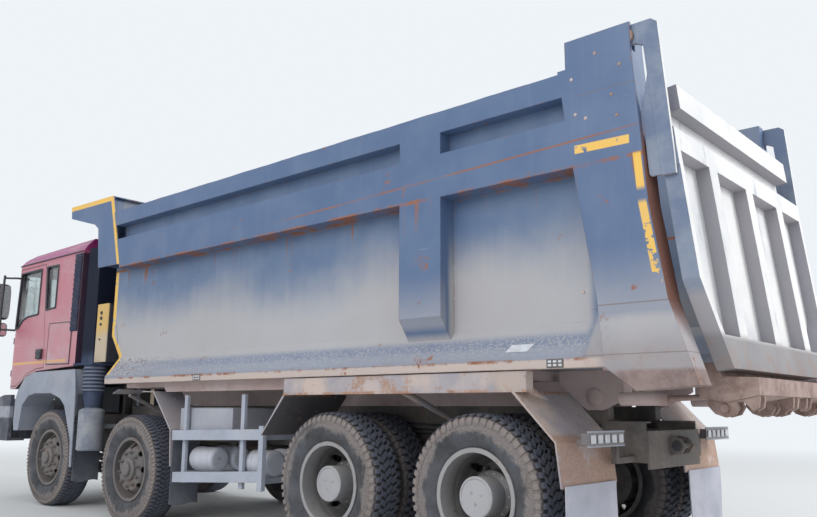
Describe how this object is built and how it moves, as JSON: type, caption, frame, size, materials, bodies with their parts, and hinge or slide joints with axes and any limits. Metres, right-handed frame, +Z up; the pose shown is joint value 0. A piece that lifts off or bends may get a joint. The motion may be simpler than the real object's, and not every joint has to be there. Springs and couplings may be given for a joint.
{
  "type": "dump truck",
  "caption": "Four-axle tipping truck with a faded red sleeper cab, a dusty blue-grey steel body, a ribbed top-hung tailgate and a flat tyre on its second axle",
  "frame": {"origin": "centre of the bounding box on the ground, under the middle of the truck", "axes": "+Z up, +Y towards the tailgate, +X towards the truck's left side"},
  "size_m": [2.8, 9.38, 3.453],
  "materials": {
    "frame_steel": "chassis paint under brown dust",
    "rim_steel": "silver wheel paint, dusty",
    "tyre_rubber": "worn rubber with pale dust",
    "engine_iron": "oily cast iron",
    "cab_red": "faded pinkish red paint",
    "cab_glass": "clear window glass, dusty",
    "dark_plastic": "weathered black plastic",
    "seat_fabric": "dark seat cloth",
    "wing_grey": "grey moulded plastic",
    "bumper_paint": "grey painted bumper",
    "lamp_plastic": "pale ribbed lamp lens",
    "tank_paint": "grey painted steel tanks",
    "silencer_steel": "heat resistant grey paint",
    "fuel_tank_metal": "dull aluminium",
    "flap_rubber": "mud flap rubber, dusty",
    "body_grey": "blue grey paint with dust and scuffs",
    "hoist_paint": "black cylinder paint",
    "hoist_chrome": "chromed hoist stages"
  },
  "bodies": {
    "chassis": {"chassis_frame": "frame_steel", "subframe": "frame_steel", "front_axle_beams": "frame_steel", "leaf_springs": "frame_steel", "rear_axles": "frame_steel", "engine": "engine_iron", "driveline": "frame_steel", "bumper": "bumper_paint", "lamps": "lamp_plastic", "front_wings": "wing_grey", "air_intake": "dark_plastic", "oil_tank": "tank_paint", "silencer": "silencer_steel", "fuel_tank": "fuel_tank_metal", "side_rack": "frame_steel", "air_tanks": "tank_paint", "mudguards": "frame_steel", "mud_flaps": "flap_rubber"},
    "cab": {"cab_shell": "cab_red", "cab_glass": "cab_glass", "grille": "dark_plastic", "seats": "seat_fabric", "dashboard": "dark_plastic"},
    "door_left_body": {"door_left": "cab_red", "door_glass_left": "cab_glass", "mirror_left": "dark_plastic"},
    "door_right_body": {"door_right": "cab_red", "door_glass_right": "cab_glass", "mirror_right": "dark_plastic"},
    "tipper": {"bed_tub": "body_grey", "headboard": "body_grey", "bed_underframe": "frame_steel"},
    "gate": {"tailgate": "body_grey"},
    "hoist_barrel": {"hoist_tube": "hoist_paint"},
    "hoist_1": {"hoist_stage_1": "hoist_chrome"},
    "hoist_2": {"hoist_stage_2": "hoist_chrome"},
    "hoist_3": {"hoist_stage_3": "hoist_chrome"},
    "hoist_4": {"hoist_stage_4": "hoist_chrome"},
    "steer_1_left": {"knuckle_1_left": "frame_steel"},
    "wheel_1_left": {"tyre_1_left": "tyre_rubber", "rim_1_left": "rim_steel"},
    "steer_1_right": {"knuckle_1_right": "frame_steel"},
    "wheel_1_right": {"tyre_1_right": "tyre_rubber", "rim_1_right": "rim_steel"},
    "track_rod_1": {"tie_rod_1": "frame_steel"},
    "steer_2_left": {"knuckle_2_left": "frame_steel"},
    "wheel_2_left": {"tyre_2_left": "tyre_rubber", "rim_2_left": "rim_steel"},
    "steer_2_right": {"knuckle_2_right": "frame_steel"},
    "wheel_2_right": {"tyre_2_right": "tyre_rubber", "rim_2_right": "rim_steel"},
    "track_rod_2": {"tie_rod_2": "frame_steel"},
    "wheel_3_left": {"tyres_3_left": "tyre_rubber", "rims_3_left": "rim_steel"},
    "wheel_3_right": {"tyres_3_right": "tyre_rubber", "rims_3_right": "rim_steel"},
    "wheel_4_left": {"tyres_4_left": "tyre_rubber", "rims_4_left": "rim_steel"},
    "wheel_4_right": {"tyres_4_right": "tyre_rubber", "rims_4_right": "rim_steel"}
  },
  "joints": [
    {"name": "steer_1_left", "type": "hinge", "parent": "chassis", "child": "steer_1_left", "pos_m": [0.86, -3.21, 0.54], "axis": [0, 0, 1], "range_deg": [-38, 38]},
    {"name": "spin_1_left", "type": "hinge", "parent": "steer_1_left", "child": "wheel_1_left", "pos_m": [1.032, -3.21, 0.54], "axis": [1, 0, 0], "continuous": true},
    {"name": "steer_1_right", "type": "hinge", "parent": "chassis", "child": "steer_1_right", "pos_m": [-0.86, -3.21, 0.54], "axis": [0, 0, 1], "range_deg": [-38, 38]},
    {"name": "spin_1_right", "type": "hinge", "parent": "steer_1_right", "child": "wheel_1_right", "pos_m": [-1.032, -3.21, 0.54], "axis": [1, 0, 0], "continuous": true},
    {"name": "track_1", "type": "hinge", "parent": "steer_1_left", "child": "track_rod_1", "pos_m": [0.86, -3.02, 0.3987], "axis": [0, 0, 1], "range_deg": [-38, 38]},
    {"name": "steer_2_left", "type": "hinge", "parent": "chassis", "child": "steer_2_left", "pos_m": [0.86, -1.415, 0.495], "axis": [0, 0, 1], "range_deg": [-27, 27]},
    {"name": "spin_2_left", "type": "hinge", "parent": "steer_2_left", "child": "wheel_2_left", "pos_m": [1.032, -1.415, 0.495], "axis": [1, 0, 0], "continuous": true},
    {"name": "steer_2_right", "type": "hinge", "parent": "chassis", "child": "steer_2_right", "pos_m": [-0.86, -1.415, 0.54], "axis": [0, 0, 1], "range_deg": [-27, 27]},
    {"name": "spin_2_right", "type": "hinge", "parent": "steer_2_right", "child": "wheel_2_right", "pos_m": [-1.032, -1.415, 0.54], "axis": [1, 0, 0], "continuous": true},
    {"name": "track_2", "type": "hinge", "parent": "steer_2_left", "child": "track_rod_2", "pos_m": [0.86, -1.225, 0.3537], "axis": [0, 0, 1], "range_deg": [-27, 27]},
    {"name": "spin_3_left", "type": "hinge", "parent": "chassis", "child": "wheel_3_left", "pos_m": [0.9, 1.565, 0.54], "axis": [1, 0, 0], "continuous": true},
    {"name": "spin_3_right", "type": "hinge", "parent": "chassis", "child": "wheel_3_right", "pos_m": [-0.9, 1.565, 0.54], "axis": [1, 0, 0], "continuous": true},
    {"name": "spin_4_left", "type": "hinge", "parent": "chassis", "child": "wheel_4_left", "pos_m": [0.9, 2.965, 0.54], "axis": [1, 0, 0], "continuous": true},
    {"name": "spin_4_right", "type": "hinge", "parent": "chassis", "child": "wheel_4_right", "pos_m": [-0.9, 2.965, 0.54], "axis": [1, 0, 0], "continuous": true},
    {"name": "bed_tip", "type": "hinge", "parent": "chassis", "child": "tipper", "pos_m": [0, 3.46, 1.193], "axis": [-1, 0, 0], "range_deg": [0, 46]},
    {"name": "tailgate_swing", "type": "hinge", "parent": "tipper", "child": "gate", "pos_m": [0, 4.19, 3.35], "axis": [1, 0, 0], "range_deg": [0, 55]},
    {"name": "hoist_tilt", "type": "hinge", "parent": "chassis", "child": "hoist_barrel", "pos_m": [0, -2.41, 1.24], "axis": [-1, 0, 0], "range_deg": [0, 28.96]},
    {"name": "hoist_slide_1", "type": "slide", "parent": "hoist_barrel", "child": "hoist_1", "axis": [0, 0, 1], "range_m": [0, 1.1247]},
    {"name": "hoist_slide_2", "type": "slide", "parent": "hoist_1", "child": "hoist_2", "axis": [0, 0, 1], "range_m": [0, 1.1247]},
    {"name": "hoist_slide_3", "type": "slide", "parent": "hoist_2", "child": "hoist_3", "axis": [0, 0, 1], "range_m": [0, 1.1247]},
    {"name": "hoist_slide_4", "type": "slide", "parent": "hoist_3", "child": "hoist_4", "axis": [0, 0, 1], "range_m": [0, 1.1247]},
    {"name": "cab_tilt", "type": "hinge", "parent": "chassis", "child": "cab", "pos_m": [0, -4.46, 1], "axis": [1, 0, 0], "range_deg": [0, 60]},
    {"name": "door_left_hinge", "type": "hinge", "parent": "cab", "child": "door_left_body", "pos_m": [1.094, -4.603, 1.9], "axis": [0, 0, -1], "range_deg": [0, 70]},
    {"name": "door_right_hinge", "type": "hinge", "parent": "cab", "child": "door_right_body", "pos_m": [-1.094, -4.603, 1.9], "axis": [0, 0, 1], "range_deg": [0, 70]}
  ],
  "couplings": [
    {"joint": "steer_1_right", "follows": "steer_1_left", "ratio": 1},
    {"joint": "steer_2_left", "follows": "steer_1_left", "ratio": 0.7105},
    {"joint": "steer_2_right", "follows": "steer_1_left", "ratio": 0.7105},
    {"joint": "track_1", "follows": "steer_1_left", "ratio": -1},
    {"joint": "track_2", "follows": "steer_1_left", "ratio": -0.7105},
    {"joint": "hoist_tilt", "follows": "bed_tip", "ratio": 0.62957},
    {"joint": "hoist_slide_1", "follows": "bed_tip", "m_per_rad": 1.4009},
    {"joint": "hoist_slide_2", "follows": "bed_tip", "m_per_rad": 1.4009},
    {"joint": "hoist_slide_3", "follows": "bed_tip", "m_per_rad": 1.4009},
    {"joint": "hoist_slide_4", "follows": "bed_tip", "m_per_rad": 1.4009}
  ]
}
